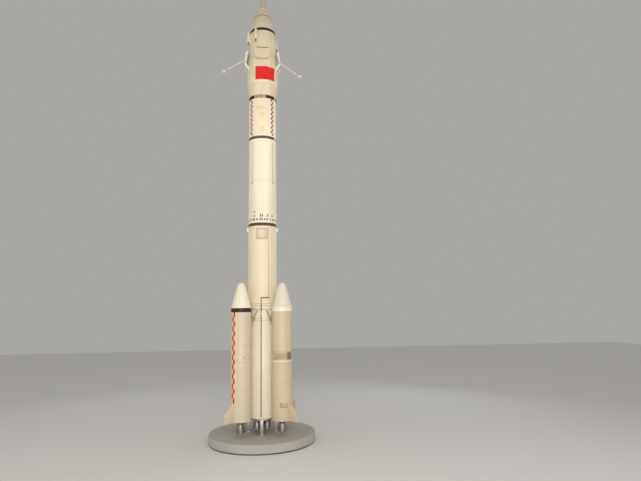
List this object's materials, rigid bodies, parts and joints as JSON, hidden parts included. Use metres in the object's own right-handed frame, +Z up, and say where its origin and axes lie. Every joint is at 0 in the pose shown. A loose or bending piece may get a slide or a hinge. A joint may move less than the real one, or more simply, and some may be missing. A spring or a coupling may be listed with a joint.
{
  "type": "space rocket display model",
  "caption": "Tall display model of a crewed launch rocket with strap-on boosters, an escape tower, black bands, folding grid fins, wall stays and a round plinth.",
  "frame": {"origin": "on the rocket's axis, under the middle of the round plinth, on the floor", "axes": "+Z up along the rocket's axis; the side with the red panel looks along -Y; +X is to that side's right"},
  "size_m": [1.2, 1.2, 5.9837],
  "materials": {
    "ivory_paint": "warm white gloss paint, slightly yellowed",
    "white_paint": "white semi-gloss paint",
    "black_paint": "black semi-gloss paint",
    "brown_paint": "dark brown satin paint",
    "engine_metal": "dull spun metal",
    "bare_metal": "satin metal",
    "plinth_paint": "matt light grey paint"
  },
  "bodies": {
    "rocket": {"plinth": "plinth_paint", "stand": "bare_metal", "core_skirt": "ivory_paint", "core_engines": "engine_metal", "first_stage_lower_tank": "ivory_paint", "first_stage_upper_tank": "ivory_paint", "stage_collar": "ivory_paint", "stage_band": "black_paint", "second_stage_aft_section": "ivory_paint", "second_stage_tank": "ivory_paint", "second_stage_band": "black_paint", "second_stage_forward_section": "ivory_paint", "fairing_base_band": "black_paint", "fairing_boat_tail": "ivory_paint", "fairing_lower": "ivory_paint", "fairing_upper": "ivory_paint", "nose_band": "black_paint", "nose_cone": "ivory_paint", "escape_skirt": "white_paint", "escape_motor": "white_paint", "escape_head": "white_paint", "motor_housing_front_left": "white_paint", "motor_housing_rear_right": "white_paint", "cable_duct": "white_paint", "feed_pipe": "brown_paint", "raceway_left": "ivory_paint", "raceway_right": "ivory_paint", "side_duct": "white_paint", "booster_front_left_nose": "ivory_paint", "booster_front_left_band": "black_paint", "booster_front_left_tank": "ivory_paint", "booster_front_left_skirt": "ivory_paint", "booster_front_left_engine": "engine_metal", "booster_front_right_nose": "ivory_paint", "booster_front_right_band": "ivory_paint", "booster_front_right_tank": "ivory_paint", "booster_front_right_skirt": "ivory_paint", "booster_front_right_engine": "engine_metal", "booster_rear_right_nose": "ivory_paint", "booster_rear_right_band": "black_paint", "booster_rear_right_tank": "ivory_paint", "booster_rear_right_skirt": "ivory_paint", "booster_rear_right_engine": "engine_metal", "booster_rear_left_nose": "ivory_paint", "booster_rear_left_band": "ivory_paint", "booster_rear_left_tank": "ivory_paint", "booster_rear_left_skirt": "ivory_paint", "booster_rear_left_engine": "engine_metal", "fin_bracket_right": "white_paint", "fin_bracket_rear": "white_paint", "fin_bracket_left": "white_paint", "fin_bracket_front": "white_paint", "wall_stay_left": "white_paint", "wall_stay_right": "white_paint"},
    "fin_right": {"grid_fin_right": "white_paint"},
    "fin_rear": {"grid_fin_rear": "white_paint"},
    "fin_left": {"grid_fin_left": "white_paint"},
    "fin_front": {"grid_fin_front": "white_paint"}
  },
  "joints": [
    {"name": "fin_right_fold", "type": "hinge", "parent": "rocket", "child": "fin_right", "pos_m": [0.213, 0, 4.508], "axis": [0, 1, 0], "range_deg": [0, 98]},
    {"name": "fin_rear_fold", "type": "hinge", "parent": "rocket", "child": "fin_rear", "pos_m": [0, 0.213, 4.508], "axis": [-1, 0, 0], "range_deg": [0, 98]},
    {"name": "fin_left_fold", "type": "hinge", "parent": "rocket", "child": "fin_left", "pos_m": [-0.213, 0, 4.508], "axis": [0, -1, 0], "range_deg": [0, 98]},
    {"name": "fin_front_fold", "type": "hinge", "parent": "rocket", "child": "fin_front", "pos_m": [0, -0.213, 4.508], "axis": [1, 0, 0], "range_deg": [0, 98]}
  ]
}
